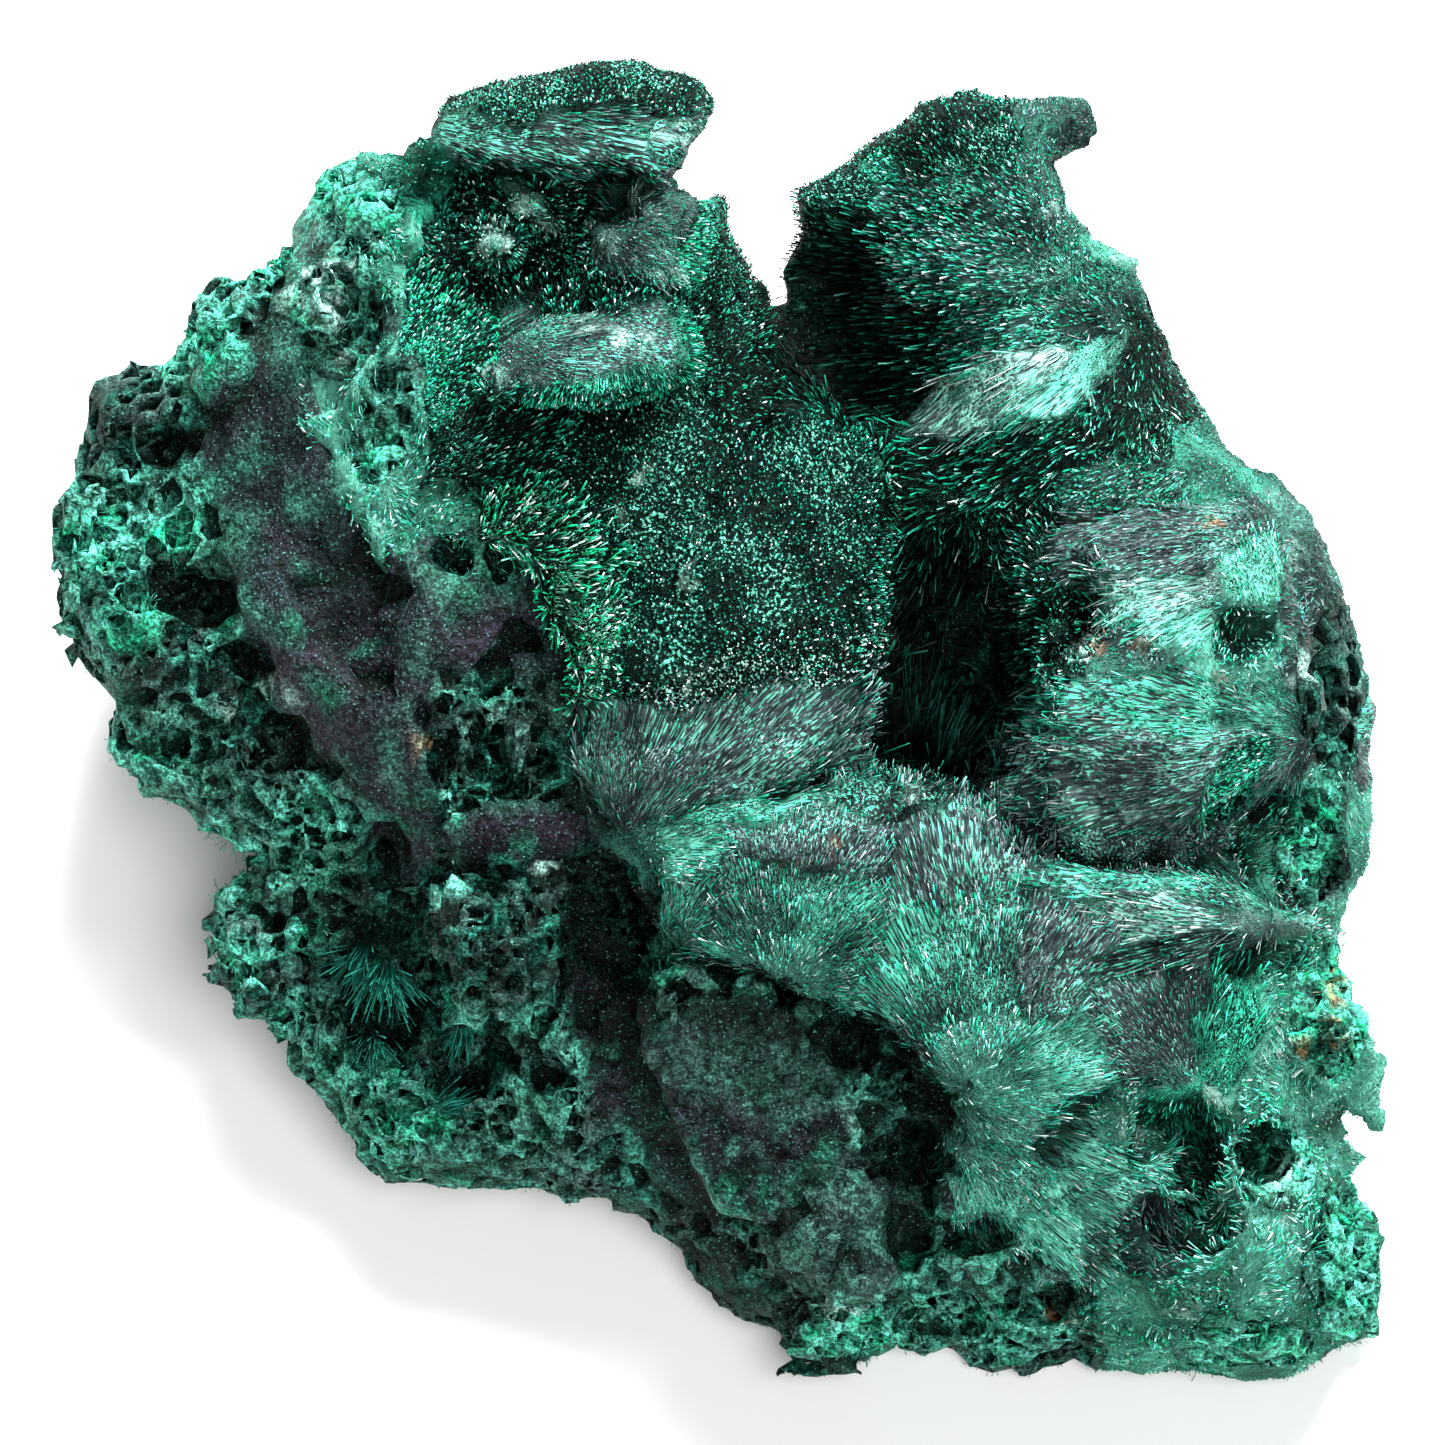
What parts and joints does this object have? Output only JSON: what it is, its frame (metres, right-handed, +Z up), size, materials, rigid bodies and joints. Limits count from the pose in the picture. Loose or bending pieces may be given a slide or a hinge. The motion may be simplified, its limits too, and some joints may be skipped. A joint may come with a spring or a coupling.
{
  "type": "malachite specimen",
  "caption": "Hand specimen of fibrous malachite: velvety rounded masses and fans of fibres round a deep cavity, on a cellular crust, lying on its flat underside.",
  "frame": {"origin": "on the flat underside, straight below the middle of the show face", "axes": "+Z up, square to the underside; +X to the right across the show face; +Y to the back, where the two horns are"},
  "size_m": [0.0893, 0.0839, 0.0428],
  "materials": {
    "malachite": "velvety and silky fibres, rough where it is cellular"
  },
  "bodies": {
    "root": {"malachite": "malachite"}
  },
  "joints": []
}
